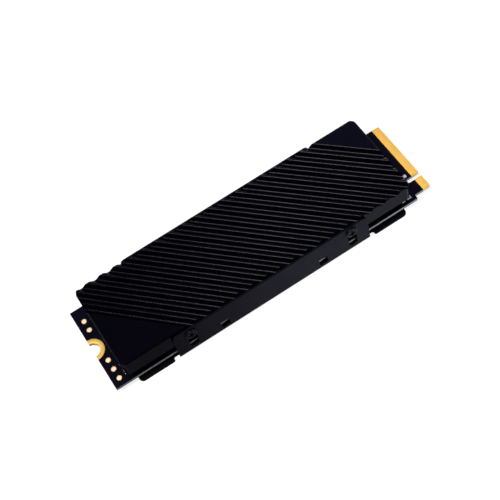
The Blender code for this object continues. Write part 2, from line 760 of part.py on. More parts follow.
def make_power_parts(controller_x):
    """The regulator, its coils and its large capacitors, in columns from the controller to the connector."""
    mould = material("power_chip_black", (0.02, 0.02, 0.02), 0.55)
    ferrite = material("inductor_grey", (0.06, 0.06, 0.065), 0.6)
    ceramic = material("capacitor_tan", (0.35, 0.24, 0.15), 0.5)
    can = material("crystal_metal", (0.6, 0.6, 0.58), 0.3, 1.0)
    power_x = controller_x + CONTROLLER_SIDE / 2 + POWER_SPACE + POWER_CHIP_SIDE / 2
    coil_x = power_x + (POWER_CHIP_SIDE + INDUCTOR_LENGTH) / 2 + POWER_SPACE
    bulk_x = coil_x + (INDUCTOR_LENGTH + BULK_WIDTH) / 2 + POWER_SPACE
    make_package("power_chip", POWER_CHIP_SIDE, POWER_CHIP_SIDE, POWER_CHIP_HEIGHT, mould, power_x)
    crystal_y = -(POWER_CHIP_SIDE + CRYSTAL_WIDTH) / 2 - POWER_SPACE
    lid = package_mesh("clock_crystal", CRYSTAL_LENGTH, CRYSTAL_WIDTH, CRYSTAL_HEIGHT, CRYSTAL_HEIGHT / 2)
    piece("clock_crystal", lid, can, (power_x, crystal_y, PART_BASE))
    for number, y in enumerate(row(INDUCTOR_COUNT, INDUCTOR_PITCH), 1):
        coil = box_mesh("inductor", INDUCTOR_LENGTH, INDUCTOR_WIDTH, INDUCTOR_HEIGHT)
        round_edges(piece(f"inductor_{number}", coil, ferrite, (coil_x, y, PART_BASE)), INDUCTOR_EDGE)
    for number, y in enumerate(row(BULK_COUNT, BULK_PITCH), 1):
        bulk = end_cap_mesh("bulk_capacitor", BULK_LENGTH, BULK_WIDTH, BULK_HEIGHT)
        piece(f"bulk_capacitor_{number}", bulk, ceramic, (bulk_x, y, PART_BASE), (0, 0, radians(90)))


def make_small_parts(dram_x, controller_x):
    """Ceramic capacitors along the controller's two sides and resistors along the memory's."""
    ceramic = material("small_capacitor_tan", (0.40, 0.28, 0.18), 0.5)
    glaze = material("resistor_black", (0.02, 0.02, 0.02), 0.4)
    beside = POWER_SPACE + SMALL_WIDTH / 2
    number = 0
    for side in (-1, 1):
        for offset in row(CAPACITOR_COUNT // 2, SMALL_PITCH):
            number += 1
            small = end_cap_mesh("capacitor", SMALL_LENGTH, SMALL_WIDTH, CAPACITOR_HEIGHT)
            y = side * (CONTROLLER_SIDE / 2 + beside)
            piece(f"capacitor_{number}", small, ceramic, (controller_x + offset, y, PART_BASE))
    number = 0
    for side in (-1, 1):
        for offset in row(RESISTOR_COUNT // 2, SMALL_PITCH):
            number += 1
            small = end_cap_mesh("resistor", SMALL_LENGTH, SMALL_WIDTH, RESISTOR_HEIGHT)
            y = side * (DRAM_WIDTH / 2 + beside)
            piece(f"resistor_{number}", small, glaze, (dram_x + offset, y, PART_BASE))


clear_scene()
parts = new_collection("gumstick_solid_state_drive")
cutters = new_collection("cutters")
drive = bpy.data.objects.new("drive_origin", None)
parts.objects.link(drive)
make_board()
make_heatsink()
make_tray()
make_screws()
memory_x, main_chip_x = make_chips()
make_power_parts(main_chip_x)
make_small_parts(memory_x, main_chip_x)
finish_shading(parts)
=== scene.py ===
"""The looks of a gumstick solid state drive: finishes, fine shapes, floor, lights and camera.

The frame's own axes are kept: X along the board to its edge connector, Y across it and Z up.
Sizes are written in millimetres times MM.
"""

from math import cos, floor, radians, sin

import bmesh
import bpy
from mathutils import Matrix, Quaternion, Vector


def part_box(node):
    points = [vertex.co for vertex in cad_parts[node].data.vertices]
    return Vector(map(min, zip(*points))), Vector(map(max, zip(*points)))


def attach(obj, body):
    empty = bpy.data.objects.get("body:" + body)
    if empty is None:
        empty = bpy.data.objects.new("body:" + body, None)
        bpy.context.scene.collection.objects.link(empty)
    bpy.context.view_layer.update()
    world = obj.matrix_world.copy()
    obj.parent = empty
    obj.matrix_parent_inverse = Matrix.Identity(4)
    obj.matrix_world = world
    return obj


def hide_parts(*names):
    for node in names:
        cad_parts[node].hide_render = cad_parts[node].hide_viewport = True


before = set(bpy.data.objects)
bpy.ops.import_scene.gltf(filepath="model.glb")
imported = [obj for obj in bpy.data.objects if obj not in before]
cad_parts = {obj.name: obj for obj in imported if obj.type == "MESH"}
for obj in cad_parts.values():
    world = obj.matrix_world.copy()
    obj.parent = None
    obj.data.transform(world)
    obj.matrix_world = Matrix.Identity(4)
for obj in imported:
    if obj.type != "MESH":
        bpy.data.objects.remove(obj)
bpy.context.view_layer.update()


# Folded tray
# One sheet of aluminium, stamped flat with its slots and windows, folded up along both sides and
# coated satin black. It wraps the board from below and hangs on the four side screws.

MM = 0.001
WELD = 0.0005 * MM

tray_low, tray_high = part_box("tray")
tray_middle = (tray_low.x + tray_high.x) / 2
tray_half = (tray_high.x - tray_low.x) / 2
sheet_thickness = 0.5 * MM
wing_outside = tray_high.y
wing_setback = 9.73 * MM
wing_half = tray_half - wing_setback
fold_radius = 0.8 * MM
relief_width = 1.3 * MM
relief_reach = 0.15 * MM
relief_rounding = 0.4 * MM
tray_corner = 1.0 * MM
wing_corner = 1.0 * MM
slot_size = (2.1 * MM, 6.15 * MM)
slot_bottom = 1.5 * MM
slot_from_wing_end = 4.1 * MM
window_size = (2.1 * MM, 2.5 * MM)
window_rounding = 0.5 * MM
window_bottom = 1.35 * MM
window_from_slot = 7.6 * MM
tray_edge = 0.08 * MM
corner_steps = 8
fold_steps = 10
sharp_angle = radians(32)
standing = Matrix.Rotation(radians(90), 3, "X")


def plate(corners):
    """A flat face from corners given as x, y and rounding, each rounded by a bevel of its own size."""
    shape = bmesh.new()
    made = [(shape.verts.new((x, y, 0)), size) for x, y, size in corners]
    shape.faces.new([corner for corner, size in made])
    for size in sorted({size for corner, size in made if size}, reverse=True):
        bmesh.ops.bevel(
            shape, geom=[corner for corner, own in made if own == size], offset=size,
            offset_type="OFFSET", segments=corner_steps, profile=0.5, affect="VERTICES", material=-1,
        )
    return shape


def rectangle(width, height, rounding):
    x, y = width / 2, height / 2
    return [(-x, -y, rounding), (x, -y, rounding), (x, y, rounding), (-x, y, rounding)]


def thicken(shape, height):
    """Pushes the flat shape's faces up into a closed solid."""
    faces = list(shape.faces)
    pushed = bmesh.ops.extrude_face_region(shape, geom=faces, use_keep_orig=True)["geom"]
    corners = [item for item in pushed if isinstance(item, bmesh.types.BMVert)]
    bmesh.ops.translate(shape, verts=corners, vec=(0, 0, height))
    bmesh.ops.recalc_face_normals(shape, faces=shape.faces)
    return shape


def place(shape, location, turn=None):
    if turn:
        bmesh.ops.transform(shape, matrix=turn.to_4x4(), verts=shape.verts)
    bmesh.ops.translate(shape, vec=location, verts=shape.verts)
    return shape


def join(shapes):
    """One shape that holds several."""
    whole = bmesh.new()
    for shape in shapes:
        mesh = bpy.data.meshes.new("joined")
        shape.to_mesh(mesh)
        shape.free()
        whole.from_mesh(mesh)
        bpy.data.meshes.remove(mesh)
    return whole


def as_object(name, shape):
    mesh = bpy.data.meshes.new(name)
    shape.to_mesh(mesh)
    shape.free()
    made = bpy.data.objects.new(name, mesh)
    bpy.context.scene.collection.objects.link(made)
    return made


def settle(made):
    """Applies an object's modifiers to its mesh."""
    graph = bpy.context.evaluated_depsgraph_get()
    mesh = bpy.data.meshes.new_from_object(made.evaluated_get(graph))
    made.modifiers.clear()
    made.data = mesh


def cut(made, tool):
    """Takes one solid out of another."""
    taken = made.modifiers.new("cut", "BOOLEAN")
    taken.operation = "DIFFERENCE"
    taken.solver = "EXACT"
    taken.object = tool
    settle(made)
    bpy.data.objects.remove(tool, do_unlink=True)


def soften(made, width, segments=2):
    """Rounds the sharp edges over and keeps the flats between them evenly shaded."""
    edges = made.modifiers.new("soft edges", "BEVEL")
    edges.width = width
    edges.segments = segments
    edges.limit_method = "ANGLE"
    edges.angle_limit = sharp_angle
    settle(made)
    made.data.shade_smooth()
    shading = made.modifiers.new("even shading", "WEIGHTED_NORMAL")
    shading.keep_sharp = True


def maths(tree, operation, *values):
    """The result of one calculation on sockets and plain numbers."""
    made = tree.nodes.new("ShaderNodeMath")
    made.operation = operation
    for socket, value in zip(made.inputs, values):
        if isinstance(value, bpy.types.NodeSocket):
            tree.links.new(value, socket)
        else:
            socket.default_value = value
    return made.outputs[0]


def map_range(tree, value, source, target, interpolation="LINEAR"):
    """A value carried from one span to another, and held at the ends."""
    made = tree.nodes.new("ShaderNodeMapRange")
    made.interpolation_type = interpolation
    made.inputs["From Min"].default_value, made.inputs["From Max"].default_value = source
    made.inputs["To Min"].default_value, made.inputs["To Max"].default_value = target
    tree.links.new(value, made.inputs["Value"])
    return made.outputs["Result"]


def noise(tree, where, scale, detail):
    """An even field of soft lumps."""
    made = tree.nodes.new("ShaderNodeTexNoise")
    made.inputs["Detail"].default_value = detail
    tree.links.new(where, made.inputs["Vector"])
    tree.links.new(scale, made.inputs["Scale"])
    return made.outputs["Fac"]


def surface_grain():
    """Node group: fine unevenness and broad, faint patches over a surface."""
    broad_share = 0.12
    group = bpy.data.node_groups.new("surface_grain", "ShaderNodeTree")
    sockets = group.interface
    sockets.new_socket("Colour", in_out="INPUT", socket_type="NodeSocketColor")
    for name in ("Mottling", "Roughness", "Scale", "Depth"):
        sockets.new_socket(name, in_out="INPUT", socket_type="NodeSocketFloat")
    sockets.new_socket("Colour", in_out="OUTPUT", socket_type="NodeSocketColor")
    sockets.new_socket("Roughness", in_out="OUTPUT", socket_type="NodeSocketFloat")
    sockets.new_socket("Normal", in_out="OUTPUT", socket_type="NodeSocketVector")
    nodes, links = group.nodes, group.links
    given = nodes.new("NodeGroupInput").outputs
    result = nodes.new("NodeGroupOutput").inputs
    where = nodes.new("ShaderNodeTexCoord").outputs["Object"]
    fine = noise(group, where, given["Scale"], 3.0)
    broad = noise(group, where, maths(group, "MULTIPLY", given["Scale"], broad_share), 2.0)
    swing = map_range(group, maths(group, "ADD", fine, broad), (0.7, 1.3), (-1.0, 1.0))
    amount = maths(group, "MULTIPLY_ADD", swing, given["Mottling"], 1.0)
    tinted = nodes.new("ShaderNodeVectorMath")
    tinted.operation = "SCALE"
    links.new(given["Colour"], tinted.inputs[0])
    links.new(amount, tinted.inputs["Scale"])
    bump = nodes.new("ShaderNodeBump")
    links.new(fine, bump.inputs["Height"])
    links.new(given["Depth"], bump.inputs["Distance"])
    links.new(tinted.outputs["Vector"], result["Colour"])
    links.new(maths(group, "MULTIPLY", given["Roughness"], amount), result["Roughness"])
    links.new(bump.outputs["Normal"], result["Normal"])
    return group


grain = surface_grain()


def finish(
    name, colour, roughness, metallic=0.0, specular=0.5, mottling=0.1, scale=2500.0, depth=0.01 * MM
):
    """A material of one colour whose grain, patches and roughness vary over the surface."""
    made = bpy.data.materials.new(name)
    made.use_nodes = True
    made.diffuse_color = (*colour, 1.0)
    nodes, links = made.node_tree.nodes, made.node_tree.links
    shader = nodes["Principled BSDF"]
    shader.inputs["Metallic"].default_value = metallic
    shader.inputs["Specular IOR Level"].default_value = specular
    surface = nodes.new("ShaderNodeGroup")
    surface.node_tree = grain
    surface.inputs["Colour"].default_value = (*colour, 1.0)
    surface.inputs["Mottling"].default_value = mottling
    surface.inputs["Roughness"].default_value = roughness
    surface.inputs["Scale"].default_value = scale
    surface.inputs["Depth"].default_value = depth
    for output, name in (("Colour", "Base Color"), ("Roughness", "Roughness"), ("Normal", "Normal")):
        links.new(surface.outputs[output], shader.inputs[name])
    return made


def dress(made, surface, slot, *nodes):
    """Gives a piece its finish and its place on the drive, and hides the solids that it stands for."""
    made.data.materials.clear()
    made.data.materials.append(surface)
    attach(made, "root")
    if nodes:
        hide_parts(*nodes)


def coat(made, surface, chosen):
    """Gives the faces that a test picks a finish of their own."""
    made.data.materials.append(surface)
    index = len(made.data.materials) - 1
    for face in made.data.polygons:
        if chosen(face):
            face.material_index = index


def tray_shape():
    """The flat sheet with a relief notch beside each end of each fold, folded up into two wings."""
    fold_y = wing_outside - fold_radius
    notch = wing_half + relief_width
    quarter = [
        (tray_half, wing_outside, tray_corner),
        (notch, wing_outside, relief_rounding),
        (notch, fold_y - relief_reach, relief_rounding),
        (wing_half, fold_y - relief_reach, 0),
        (wing_half, fold_y, 0),
    ]
    back = quarter[::-1]
    corners = list(quarter)
    corners += [(-x, y, size) for x, y, size in back]
    corners += [(-x, -y, size) for x, y, size in quarter]
    corners += [(x, -y, size) for x, y, size in back]
    shape = plate(corners)
    folds = [edge for edge in shape.edges if abs(edge.calc_length() - 2 * wing_half) < WELD]
    for edge in folds:
        y = edge.verts[0].co.y
        bend = bmesh.ops.spin(
            shape, geom=[edge, *edge.verts], cent=(0, y, fold_radius),
            axis=(1 if y > 0 else -1, 0, 0), angle=radians(90), steps=fold_steps,
        )
        last = [item for item in bend["geom_last"] if isinstance(item, bmesh.types.BMEdge)]
        wall = bmesh.ops.extrude_edge_only(shape, edges=last)
        corners = [item for item in wall["geom"] if isinstance(item, bmesh.types.BMVert)]
        bmesh.ops.translate(shape, verts=corners, vec=(0, 0, tray_high.z - fold_radius))
        bmesh.ops.bevel(
            shape, geom=corners, offset=wing_corner, segments=corner_steps, profile=0.5,
            affect="VERTICES", material=-1,
        )
    bmesh.ops.remove_doubles(shape, verts=shape.verts, dist=WELD)
    bmesh.ops.recalc_face_normals(shape, faces=shape.faces)
    widest = max(shape.faces, key=lambda face: face.calc_area())
    if widest.normal.z < 0:
        bmesh.ops.reverse_faces(shape, faces=shape.faces)
    return place(shape, (tray_middle, 0, 0))


def wing_openings():
    """Obround slots for the screws and a small window beside each, through both wings."""
    through = 4 * wing_outside
    shapes = []
    for end in (-1, 1):
        slot_x = tray_middle + end * (wing_half - slot_from_wing_end)
        window_x = slot_x - end * window_from_slot
        for x, (width, height), bottom, rounding in (
            (slot_x, slot_size, slot_bottom, slot_size[0] / 2 - WELD),
            (window_x, window_size, window_bottom, window_rounding),
        ):
            hole = thicken(plate(rectangle(width, height, rounding)), through)
            shapes.append(place(hole, (x, through / 2, bottom + height / 2), standing))
    return join(shapes)


tray = as_object("folded_tray", tray_shape())
wall = tray.modifiers.new("sheet", "SOLIDIFY")
wall.thickness = sheet_thickness
wall.offset = 1.0
wall.use_even_offset = True
cut(tray, as_object("wing_openings", wing_openings()))
soften(tray, tray_edge)
tray_black = finish("tray_black", (0.0012, 0.0014, 0.0026), 0.45, specular=0.056, mottling=0.12)
dress(tray, tray_black, "tray", "tray")


# Thermal pads
# Soft grey silicone, cut from a sheet and laid between the tray and the board and between the
# chips and the heatsink. The clamping load makes their cut sides stand out a little.

pad_bulge = 0.12 * MM
pad_rounding = 0.8 * MM
pad_edge = 0.1 * MM
pad_grey = finish(
    "pad_silicone", (0.09, 0.095, 0.105), 0.85, specular=0.2, mottling=0.2, scale=1800.0,
    depth=0.03 * MM,
)


def pad(name, node):
    low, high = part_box(node)
    size = high - low
    middle = (low + high) / 2
    flat = rectangle(size.x - 2 * pad_bulge, size.y - 2 * pad_bulge, pad_rounding)
    shape = thicken(plate(flat), size.z)
    sides = [edge for edge in shape.edges if edge.verts[0].co.z != edge.verts[1].co.z]
    bmesh.ops.subdivide_edges(shape, edges=sides, cuts=2)
    waist = [corner for corner in shape.verts if WELD < corner.co.z < size.z - WELD]
    grown = (size.x / (size.x - 2 * pad_bulge), size.y / (size.y - 2 * pad_bulge), 1)
    bmesh.ops.scale(shape, vec=grown, verts=waist)
    made = as_object(name, place(shape, (middle.x, middle.y, low.z)))
    soften(made, pad_edge)
    dress(made, pad_grey, "thermal_pad", node)


pad("bottom_pad", "bottom_thermal_pad")
pad("top_pad", "top_thermal_pad")


# Circuit board
# Glass epoxy laminate, 0.8 mm thick, routed to the standard gumstick outline and coated on both
# faces with black solder mask. Its cut sides and the strip round the contacts stay bare.

board_low, board_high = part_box("circuit_board")
foil = 0.04 * MM
board_base = board_low.z + foil
board_top = board_high.z - foil
board_half = board_high.x
board_side = board_high.y
tongue_half = 9.925 * MM
tongue_length = 4.0 * MM
tongue_root = board_half - tongue_length
tongue_corner = 0.25 * MM
tongue_fillet = 0.3 * MM
board_corner = 0.15 * MM
board_edge = 0.03 * MM
bare_strip = 1.8 * MM
contact_step = 0.25 * MM
contact_count = 75
key_contacts = range(59, 67)
key_half = 0.6 * MM
key_depth = 3.5 * MM
half_hole = 1.75 * MM
hole_share = 0.999
key_share = 0.99


def contact_place(number):
    """Across the board, contact 1 lies at the far side."""
    return contact_step * ((contact_count + 1) / 2 - number)


key_y = (contact_place(key_contacts[0]) + contact_place(key_contacts[-1])) / 2


def board_shape():
    """The outline from the half-hole round to the tongue and back, cut where the mask ends."""
    deep = board_half - key_depth
    hole = hole_share * half_hole
    key = key_share * key_half
    shape = plate([
        (-board_half, half_hole, 0), (half_hole - board_half, half_hole, hole),
        (half_hole - board_half, -half_hole, hole), (-board_half, -half_hole, 0),
        (-board_half, -board_side, board_corner), (tongue_root, -board_side, board_corner),
        (tongue_root, -tongue_half, tongue_fillet), (board_half, -tongue_half, tongue_corner),
        (board_half, key_y - key_half, 0), (deep, key_y - key_half, key),
        (deep, key_y + key_half, key), (board_half, key_y + key_half, 0),
        (board_half, tongue_half, tongue_corner), (tongue_root, tongue_half, tongue_fillet),
        (tongue_root, board_side, board_corner), (-board_half, board_side, board_corner),
    ])
    thicken(shape, board_top - board_base)
    bmesh.ops.bisect_plane(
        shape, geom=[*shape.verts, *shape.edges, *shape.faces], dist=WELD,
        plane_co=(board_half - bare_strip, 0, 0), plane_no=(1, 0, 0),
    )
    return place(shape, (0, 0, board_base))


board = as_object("board", board_shape())
soften(board, board_edge, segments=1)
solder_mask = finish("solder_mask", (0.0012, 0.0013, 0.0042), 0.35, specular=0.055, scale=900.0)
bare_face = finish("bare_laminate", (0.84, 0.42, 0.02), 0.5, scale=3500.0)
tongue_side = finish("tongue_side", (0.72, 0.68, 0.36), 0.6, mottling=0.15, scale=3500.0)


def axes(tree, coordinates):
    """The three parts of a texture coordinate."""
    parts = tree.nodes.new("ShaderNodeSeparateXYZ")
    where = tree.nodes.new("ShaderNodeTexCoord").outputs[coordinates]
    tree.links.new(where, parts.inputs["Vector"])
    return parts.outputs


def layered_edge():
    """The routed side: glass cloth between copper layers, darker at each face where the mask ends."""
    made = finish("routed_laminate", (0.30, 0.33, 0.29), 0.6, mottling=0.25, scale=3500.0)
    nodes, links = made.node_tree.nodes, made.node_tree.links
    height = axes(made.node_tree, "Object")["Z"]
    share = map_range(made.node_tree, height, (board_base, board_top), (0.0, 1.0))
    layers = nodes.new("ShaderNodeValToRGB")
    stops = layers.color_ramp.elements
    stops[0].position, stops[0].color = 0.19, (0.02, 0.02, 0.02, 1.0)
    stops[1].position, stops[1].color = 0.81, (0.02, 0.02, 0.02, 1.0)
    for position, level in ((0.26, 0.9), (0.44, 1.0), (0.5, 0.7), (0.56, 1.0), (0.74, 0.9)):
        stops.new(position).color = (level, level, level, 1.0)
    links.new(share, layers.inputs["Fac"])
    shaded = nodes.new("ShaderNodeMix")
    shaded.data_type = "RGBA"
    shaded.blend_type = "MULTIPLY"
    shaded.inputs["Factor"].default_value = 1.0
    shader = nodes["Principled BSDF"]
    links.new(shader.inputs["Base Color"].links[0].from_socket, shaded.inputs["A"])
    links.new(layers.outputs["Color"], shaded.inputs["B"])
    links.new(shaded.outputs["Result"], shader.inputs["Base Color"])
    return made


def is_side(face):
    return abs(face.normal.z) < 0.5


def is_bare(face):
    return face.center.x > board_half - bare_strip


dress(board, solder_mask, "board", "circuit_board")
coat(board, layered_edge(), lambda face: is_side(face) and not is_bare(face))
coat(board, bare_face, lambda face: is_bare(face) and not is_side(face))
coat(board, tongue_side, lambda face: is_bare(face) and is_side(face))


# Gold contacts, mounting ring and test pads
# Copper foil plated with nickel and with gold. The ring and the rims of the test pads are painted a
# darker gold as shade. The contacts, their inner ends under the mask, slide into the connector, the
# ring lies under the mounting screw, and probes touch the round pads.

contact_size = (1.65 * MM, 0.35 * MM)
contact_rounding = 0.05 * MM
contact_middle = board_half - 0.925 * MM
gold_edge = 0.012 * MM
ring_steps = 48
disc_steps = 32
ring_width = 1.0 * MM
plating = 0.02 * MM
pad_radius = 0.6 * MM
pad_dome = 0.46 * MM
pad_profile = [
    (0, foil), (0.6 * pad_dome, 0.9 * foil), (pad_dome, 0.55 * foil),
    (0.97 * pad_radius, 0.4 * foil), (pad_radius, 0),
]
pad_line = 1.75 * MM - board_half
pad_step = 2.54 * MM
pad_places = [4.8 * MM + pad_step * step for step in range(2)]
pad_places += [-4.07 * MM - pad_step * step for step in range(3)]
# The solder domes are painted paler than the gold rims round them: a painted highlight.
solder_and_highlight = finish("pale_solder_and_highlight", (0.96, 0.85, 0.58), 0.5, metallic=0.1, mottling=0.05)
gold = finish("gold_plate", (0.86, 0.56, 0.115), 0.5, metallic=0.15, mottling=0.06, depth=0.004 * MM)
# A darker copy of the gold for the ring and the test pads' rims: painted shade.
shaded_gold = finish(
    "shaded_gold_plate", (0.82, 0.50, 0.095), 0.5, metallic=0.15, mottling=0.08, depth=0.004 * MM
)


def contact_shapes():
    """Odd contacts lie on the top face and even ones below, apart from those lost to the key."""
    shapes = []
    for number in range(1, contact_count + 1):
        if number in key_contacts:
            continue
        z = board_top if number % 2 else board_base - foil
        shape = thicken(plate(rectangle(*contact_size, contact_rounding)), foil)
        shapes.append(place(shape, (contact_middle, contact_place(number), z)))
    return shapes


def ring_shape():
    """A channel section turned half a round: the land on each face and the plated wall between."""
    outer = half_hole + ring_width
    inner = half_hole - plating
    behind = half_hole + plating
    section = [
        (outer, board_top), (outer, board_top + foil), (inner, board_top + foil),
        (inner, board_base - foil), (outer, board_base - foil), (outer, board_base),
        (behind, board_base), (behind, board_top),
    ]
    shape = bmesh.new()
    face = shape.faces.new([shape.verts.new((-board_half, -x, z)) for x, z in section])
    bmesh.ops.spin(
        shape, geom=[face, *face.edges, *face.verts], cent=(-board_half, 0, 0), axis=(0, 0, 1),
        angle=radians(180), steps=ring_steps,
    )
    bmesh.ops.recalc_face_normals(shape, faces=shape.faces)
    return shape


def turned(profile, steps):
    """Pairs of radius and height, turned once round the upright axis."""
    shape = bmesh.new()
    points = [shape.verts.new((x, 0, z)) for x, z in profile]
    edges = [shape.edges.new(pair) for pair in zip(points, points[1:])]
    bmesh.ops.spin(
        shape, geom=[*points, *edges], cent=(0, 0, 0), axis=(0, 0, 1), angle=radians(360),
        steps=steps, use_merge=True,
    )
    bmesh.ops.remove_doubles(shape, verts=shape.verts, dist=WELD)
    return shape


def test_pad_shape(y):
    """A disc of foil with a solder dome inside its rim."""
    shape = turned(pad_profile, disc_steps)
    bmesh.ops.holes_fill(shape, edges=[edge for edge in shape.edges if edge.is_boundary])
    bmesh.ops.recalc_face_normals(shape, faces=shape.faces)
    return place(shape, (pad_line, y, board_top))


def in_dome(face):
    near = min(abs(face.center.y - y) for y in pad_places)
    return Vector((face.center.x - pad_line, near, 0)).length < pad_dome


contacts = as_object("edge_contacts", join(contact_shapes()))
soften(contacts, gold_edge, segments=1)
dress(contacts, gold, "gold")
ring = as_object("mounting_ring", ring_shape())
soften(ring, gold_edge, segments=1)
dress(ring, shaded_gold, "gold")
test_pads = as_object("test_pads", join([test_pad_shape(y) for y in pad_places]))
test_pads.data.shade_smooth()
dress(test_pads, shaded_gold, "gold")
coat(test_pads, solder_and_highlight, in_dome)


# Printed marks
# Thin white ink screened on the mask: a corner bracket and a dash beside the heatsink, and a square
# by the key. A round tinned spot beside the last test pad guides the machine that places parts.

ink_height = 0.015 * MM
ink_line = 0.24 * MM
ink_rounding = 0.05 * MM
bracket_corner = (35.05 * MM, -10.12 * MM)
bracket_legs = (1.1 * MM, 0.8 * MM)
dash_middle = (33.03 * MM, -9.99 * MM)
dash_length = 0.75 * MM
square_middle = (36.96 * MM, key_y + 1.425 * MM)
square_size = (0.75 * MM, 0.75 * MM)
spot_middle = (-36.64 * MM, -9.07 * MM)
spot_radius = 0.16 * MM
spot_top = 0.9 * spot_radius
ink = finish("white_ink", (0.88, 0.94, 0.98), 0.6, mottling=0.15, scale=3000.0)
tin = finish("tinned_metal", (0.62, 0.61, 0.58), 0.45, metallic=0.3, scale=4000.0)


def mark(middle, length, width):
    shape = thicken(plate(rectangle(length, width, ink_rounding)), ink_height)
    return place(shape, (*middle, board_top))


def bracket_shape():
    """An L of ink with its corner away from the heatsink's middle."""
    x, y = bracket_corner
    long, short = bracket_legs
    shape = plate([
        (x, y, 0), (x, y + short, 0), (x - ink_line, y + short, 0),
        (x - ink_line, y + ink_line, 0), (x - long, y + ink_line, 0), (x - long, y, 0),
    ])
    return place(thicken(shape, ink_height), (0, 0, board_top))


def spot_shape():
    shape = bmesh.new()
    bmesh.ops.create_cone(
        shape, cap_ends=True, segments=disc_steps, radius1=spot_radius, radius2=spot_top, depth=foil
    )
    return place(shape, (*spot_middle, board_top + foil / 2))


print_marks = as_object("printed_marks", join([
    bracket_shape(), mark(dash_middle, dash_length, ink_line), mark(square_middle, *square_size)
]))
dress(print_marks, ink, "board")
spot = as_object("tinned_spot", spot_shape())
dress(spot, tin, "board")


# Chips
# Memory, controller and regulator are moulded epoxy on a thin substrate, with a round dimple by
# pin one. They are soldered down in a row and pressed on by the pad above.

chip_substrate = 0.25 * MM
chip_step = 0.15 * MM
chip_corner = 0.05 * MM
cap_corner = 0.1 * MM
chip_edge = 0.04 * MM
dimple_radius = 0.35 * MM
dimple_foot = 0.85 * dimple_radius
dimple_depth = 0.06 * MM
dimple_from_corner = 0.85 * MM
mould = finish(
    "mould_compound", (0.016, 0.016, 0.017), 0.6, mottling=0.15, scale=4000.0, depth=0.02 * MM
)
substrate_green = finish("substrate", (0.03, 0.06, 0.03), 0.5)


def chip(node):
    low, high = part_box(node)
    size = high - low
    middle = (low + high) / 2
    base = thicken(plate(rectangle(size.x, size.y, chip_corner)), chip_substrate)
    cap = plate(rectangle(size.x - 2 * chip_step, size.y - 2 * chip_step, cap_corner))
    place(thicken(cap, size.z - chip_substrate), (0, 0, chip_substrate - 2 * WELD))
    made = as_object(node + "_package", place(join([base, cap]), (middle.x, middle.y, low.z)))
    dimple = bmesh.new()
    bmesh.ops.create_cone(
        dimple, cap_ends=True, segments=disc_steps, radius1=dimple_foot, radius2=dimple_radius,
        depth=2 * dimple_depth,
    )
    place(dimple, (low.x + dimple_from_corner, high.y - dimple_from_corner, high.z))
    cut(made, as_object("pin_dimple", dimple))
    soften(made, chip_edge)
    dress(made, mould, "chip", node)
    coat(made, substrate_green, lambda face: face.center.z < low.z + chip_substrate)


for node in ("flash_chip_1", "flash_chip_2", "dram_chip", "controller", "power_chip"):
    chip(node)


# Small parts
# Ceramic capacitors, resistors and ferrite coils between the controller and the connector, each
# with tinned ends soldered to the board, and the clock crystal in its nickel plated can.

end_proud = 0.03 * MM
end_corner = 0.06 * MM
body_corner = 0.05 * MM
end_edge = 0.03 * MM
ceramic = finish("ceramic_tan", (0.36, 0.24, 0.15), 0.45, mottling=0.15, scale=5000.0)
glaze = finish("resistor_glaze", (0.02, 0.02, 0.022), 0.3, scale=5000.0)
ferrite = finish("ferrite_grey", (0.07, 0.07, 0.075), 0.7, mottling=0.25, scale=6000.0)
nickel = finish("nickel_can", (0.6, 0.6, 0.57), 0.28, metallic=1.0, mottling=0.08, scale=3000.0)


def end_capped(node, body, slot, share=0.25):
    """A body between two slightly larger metal ends."""
    low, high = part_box(node)
    size = high - low
    middle = (low + high) / 2
    along = 0 if size.x > size.y else 1
    length, width = (size.x, size.y) if along == 0 else (size.y, size.x)
    cap = share * length
    middle_part = plate(rectangle(length - cap, width - 2 * end_proud, body_corner))
    shapes = [place(thicken(middle_part, size.z - 2 * end_proud), (0, 0, end_proud))]
    for side in (-1, 1):
        end = thicken(plate(rectangle(cap, width, end_corner)), size.z)
        shapes.append(place(end, (side * (length - cap) / 2, 0, 0)))
    turn = Matrix.Rotation(radians(90 * along), 3, "Z")
    made = as_object(node + "_part", place(join(shapes), (middle.x, middle.y, low.z), turn))
    soften(made, end_edge)
    dress(made, body, slot, node)
    end_from = length / 2 - cap - WELD
    coat(made, tin, lambda face: abs(face.center[along] - middle[along]) > end_from)


for number in range(1, 5):
    end_capped(f"bulk_capacitor_{number}", ceramic, "ceramic_part")
    end_capped(f"resistor_{number}", glaze, "resistor")
for number in range(1, 7):
    end_capped(f"capacitor_{number}", ceramic, "ceramic_part")
for number in range(1, 4):
    end_capped(f"inductor_{number}", ferrite, "ferrite", share=0.12)

can_step = 0.15 * MM
can_corner = 0.15 * MM
lid_corner = 0.2 * MM
can_edge = 0.05 * MM
can_low, can_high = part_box("clock_crystal")
can_size = can_high - can_low
can_middle = (can_low + can_high) / 2
can_base = thicken(plate(rectangle(can_size.x, can_size.y, can_corner)), can_size.z / 2)
can_lid = plate(rectangle(can_size.x - 2 * can_step, can_size.y - 2 * can_step, lid_corner))
place(thicken(can_lid, can_size.z / 2), (0, 0, can_size.z / 2))
can_whole = place(join([can_base, can_lid]), (can_middle.x, can_middle.y, can_low.z))
can = as_object("crystal_can", can_whole)
soften(can, can_edge)
dress(can, nickel, "crystal_can", "clock_crystal")


# Heatsink
# A block of aluminium, milled slantwise into rounded ridges with a plain triangle left
# at each end, its outer edge chamfered, then fine blasted and anodised black.

sink_low, sink_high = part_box("heatsink")
sink_middle = (sink_low.x + sink_high.x) / 2
sink_half = (sink_high.x - sink_low.x) / 2
sink_side = sink_high.y
sink_height = sink_high.z - sink_low.z
sink_corner = 1.0 * MM
corner_rounding = 0.35 * MM
corner_facets = 4
sink_chamfer = 0.2 * MM
end_slope = 0.75
sink_edge = 0.05 * MM
ridge_angle = radians(45.6)
ridge_pitch = 2.425 * MM
ridge_depth = 0.9 * MM
crest_width = 0.36 * MM
floor_width = 0.42 * MM
crest_rounding = 0.18 * MM
groove_rounding = 0.18 * MM
near_flat = 11.0 * MM
far_flat = 7.4 * MM
overrun = 2 * MM


